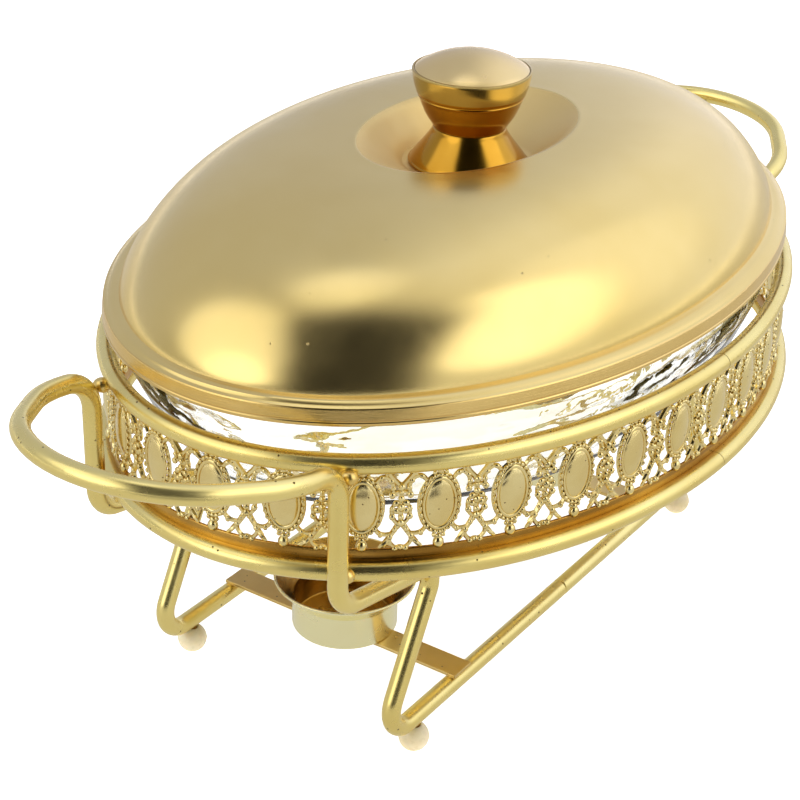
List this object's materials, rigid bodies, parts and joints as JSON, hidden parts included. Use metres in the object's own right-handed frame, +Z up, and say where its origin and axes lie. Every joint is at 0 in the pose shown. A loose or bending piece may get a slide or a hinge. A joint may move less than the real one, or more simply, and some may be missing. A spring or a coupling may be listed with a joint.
{
  "type": "oval food warmer",
  "caption": "Oval food warmer: bent-rod stand with handle bows and a pierced gallery, tea-light cups on straps, lift-out glass dish and lift-off domed lid with a turned knob.",
  "frame": {"origin": "on the floor under the middle of the oval", "axes": "+Z up, X along the oval from handle to handle, -Y towards the front"},
  "size_m": [0.4734, 0.2544, 0.2433],
  "materials": {
    "rod_gold": "polished light gold plating with fine pits",
    "gallery_gold": "cast filigree, bright crests and dark recesses",
    "braze": "smooth braze",
    "sheet_gold": "plated sheet, semi-gloss",
    "lid_gold": "satin gold, fine brushed rim band",
    "knob_gold": "mirror polished gold",
    "glass": "clear pressed glass",
    "foot": "translucent amber-white plastic",
    "steel": "plain steel"
  },
  "bodies": {
    "stand": {"frame_rod_left": "rod_gold", "frame_rod_right": "rod_gold", "upper_rail": "rod_gold", "lower_rail": "rod_gold", "gallery_band": "gallery_gold", "braze_spots": "braze", "strap_left": "sheet_gold", "strap_right": "sheet_gold", "burner_cup_left": "sheet_gold", "burner_cup_right": "sheet_gold", "base_dowel_front": "steel", "base_dowel_back": "steel", "upper_rail_dowel": "steel", "lower_rail_dowel": "steel", "ball_foot_left_front": "foot", "foot_peg_left_front": "rod_gold", "ball_foot_left_back": "foot", "foot_peg_left_back": "rod_gold", "ball_foot_right_front": "foot", "foot_peg_right_front": "rod_gold", "ball_foot_right_back": "foot", "foot_peg_right_back": "rod_gold"},
    "dish": {"glass_dish": "glass"},
    "lid": {"lid_shell": "lid_gold", "knob_cap": "lid_gold", "knob_collar": "knob_gold", "knob_bowl": "knob_gold", "knob_screw": "steel", "knob_washer": "steel"}
  },
  "joints": [
    {"name": "dish_lift", "type": "slide", "parent": "stand", "child": "dish", "axis": [0, 0, 1], "range_m": [0, 0.12]},
    {"name": "lid_lift", "type": "slide", "parent": "dish", "child": "lid", "axis": [0, 0, 1], "range_m": [0, 0.12]}
  ]
}
